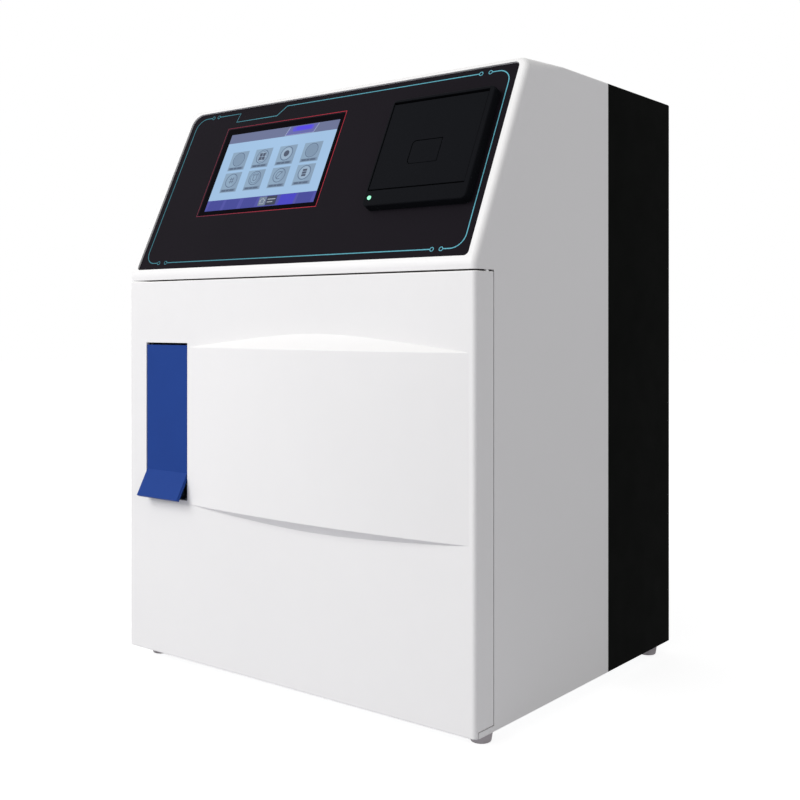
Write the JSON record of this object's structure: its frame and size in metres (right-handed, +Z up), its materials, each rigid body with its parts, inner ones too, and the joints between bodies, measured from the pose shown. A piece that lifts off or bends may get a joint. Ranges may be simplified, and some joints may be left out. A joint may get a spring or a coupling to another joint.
{
  "type": "electrolyte analyzer",
  "caption": "Bench-top blood electrolyte analyzer with hinged front door, sample lever, sloped touch screen and panel printer.",
  "frame": {"origin": "on the bench plane under the centre of the bounding box", "axes": "+Z up, front door faces -Y, +X to the right of someone facing the door"},
  "size_m": [0.314, 0.2734, 0.4155],
  "materials": {
    "white_shell": "satin white moulded shell",
    "black_shell": "black fine-textured paint",
    "panel_black": "black printed overlay, semi-gloss",
    "touch_glass": "touch screen glass over a lit display",
    "display": "display module",
    "printer_black": "dark satin printer housing",
    "lever_blue": "moulded royal blue plastic",
    "led_green": "lit green lens",
    "foot_rubber": "grey rubber",
    "steel": "brushed steel",
    "chassis": "plain aluminium sheet",
    "magnet": "plated magnet",
    "holder_grey": "light grey moulded plastic",
    "clear_plastic": "clear acrylic",
    "pump_dark": "dark grey moulded plastic",
    "tube_clear": "translucent silicone tube",
    "pack_white": "white reagent carton",
    "board_green": "circuit board",
    "platen_rubber": "black rubber roller",
    "paper": "thermal paper roll",
    "clamp_blue": "blue moulded lever",
    "fan_black": "black moulded fan"
  },
  "bodies": {
    "case": {"front_housing": "white_shell", "rear_housing": "black_shell", "base_plate": "chassis", "foot_front_left": "foot_rubber", "foot_front_right": "foot_rubber", "foot_rear_left": "foot_rubber", "foot_rear_right": "foot_rubber", "door_hinge_pins": "steel", "door_magnets": "magnet", "fascia_panel": "panel_black", "touch_glass": "touch_glass", "display_module": "display", "printer_bezel": "printer_black", "status_led": "led_green", "printer_body": "printer_black", "print_head": "steel", "lid_hinge_pin": "steel", "chassis_plate": "chassis", "board_standoffs": "steel", "electrode_holder": "holder_grey", "potassium_electrode": "clear_plastic", "sodium_electrode": "clear_plastic", "chloride_electrode": "clear_plastic", "calcium_electrode": "clear_plastic", "reference_electrode": "clear_plastic", "sampler_bracket": "holder_grey", "rinse_cup": "clear_plastic", "sample_tube": "tube_clear", "pump_tube": "tube_clear", "pump_housing": "pump_dark", "pump_motor": "steel", "valve_body": "steel", "reagent_pack": "pack_white", "pack_connector": "pump_dark", "main_board": "board_green", "power_supply": "steel", "rear_panel": "black_shell", "panel_screws": "steel", "fan_frame": "fan_black", "power_inlet": "fan_black", "power_switch": "fan_black", "data_port": "steel"},
    "door": {"front_door": "white_shell", "strike_plates": "steel", "lever_pin": "steel"},
    "lever": {"sample_lever": "lever_blue"},
    "probe": {"probe_arm": "holder_grey", "sample_needle": "steel"},
    "printer_lid": {"printer_lid": "printer_black"},
    "lid_button": {"lid_button": "printer_black"},
    "platen": {"platen_roller": "platen_rubber"},
    "paper_roll": {"paper_roll": "paper"},
    "pump_rotor": {"pump_rotor": "holder_grey"},
    "pump_roller_1": {"pump_roller_1": "holder_grey"},
    "pump_roller_2": {"pump_roller_2": "holder_grey"},
    "pump_roller_3": {"pump_roller_3": "holder_grey"},
    "clamp_lever": {"clamp_lever": "clamp_blue"},
    "valve_plunger": {"valve_plunger": "steel"},
    "rocker": {"switch_rocker": "fan_black"},
    "fan_rotor": {"fan_rotor": "fan_black"}
  },
  "joints": [
    {"name": "door_hinge", "type": "hinge", "parent": "case", "child": "door", "pos_m": [0.154, -0.11187, 0.14417], "axis": [0, 0, 1], "range_deg": [0, 95]},
    {"name": "lever_pivot", "type": "hinge", "parent": "door", "child": "lever", "pos_m": [-0.1147, -0.12127, 0.2243], "axis": [-1, 0, 0], "range_deg": [0, 78]},
    {"name": "probe_swing", "type": "hinge", "parent": "case", "child": "probe", "pos_m": [-0.1147, -0.07927, 0.2135], "axis": [-1, 0, 0], "range_deg": [0, 50]},
    {"name": "lid_hinge", "type": "hinge", "parent": "case", "child": "printer_lid", "pos_m": [0.0991, -0.10713, 0.33576], "axis": [1, 0, 0], "range_deg": [0, 85]},
    {"name": "lid_button_slide", "type": "slide", "parent": "printer_lid", "child": "lid_button", "axis": [0, 0.9057, -0.4238], "range_m": [0, 0.0015], "stiffness_N_per_m": 300},
    {"name": "platen_spin", "type": "hinge", "parent": "printer_lid", "child": "platen", "pos_m": [0.1008, -0.07799, 0.38516], "axis": [1, 0, 0], "continuous": true},
    {"name": "paper_roll_spin", "type": "hinge", "parent": "case", "child": "paper_roll", "pos_m": [0.1008, -0.07021, 0.35177], "axis": [1, 0, 0], "continuous": true},
    {"name": "pump_spin", "type": "hinge", "parent": "case", "child": "pump_rotor", "pos_m": [0.112, -0.04927, 0.2085], "axis": [0, 1, 0], "continuous": true},
    {"name": "roller_1_spin", "type": "hinge", "parent": "pump_rotor", "child": "pump_roller_1", "pos_m": [0.112, -0.04927, 0.2242], "axis": [0, 1, 0], "continuous": true},
    {"name": "roller_2_spin", "type": "hinge", "parent": "pump_rotor", "child": "pump_roller_2", "pos_m": [0.0984, -0.04927, 0.20065], "axis": [0, 1, 0], "continuous": true},
    {"name": "roller_3_spin", "type": "hinge", "parent": "pump_rotor", "child": "pump_roller_3", "pos_m": [0.1256, -0.04927, 0.20065], "axis": [0, 1, 0], "continuous": true},
    {"name": "clamp_pivot", "type": "hinge", "parent": "case", "child": "clamp_lever", "pos_m": [0.045, -0.06967, 0.1865], "axis": [0, 1, 0], "range_deg": [0, 90]},
    {"name": "valve_slide", "type": "slide", "parent": "case", "child": "valve_plunger", "axis": [0, -1, 0], "range_m": [0, 0.002], "stiffness_N_per_m": 300},
    {"name": "rocker_pivot", "type": "hinge", "parent": "case", "child": "rocker", "pos_m": [0.105, 0.13123, 0.0985], "axis": [-1, 0, 0], "range_deg": [0, 20]},
    {"name": "fan_spin", "type": "hinge", "parent": "case", "child": "fan_rotor", "pos_m": [-0.08, 0.11923, 0.3085], "axis": [0, 1, 0], "continuous": true}
  ],
  "couplings": [
    {"joint": "probe_swing", "follows": "lever_pivot", "ratio": 0.64103},
    {"joint": "paper_roll_spin", "follows": "platen_spin", "ratio": -0.23077},
    {"joint": "roller_1_spin", "follows": "pump_spin", "ratio": -3.6667},
    {"joint": "roller_2_spin", "follows": "pump_spin", "ratio": -3.6667},
    {"joint": "roller_3_spin", "follows": "pump_spin", "ratio": -3.6667}
  ]
}
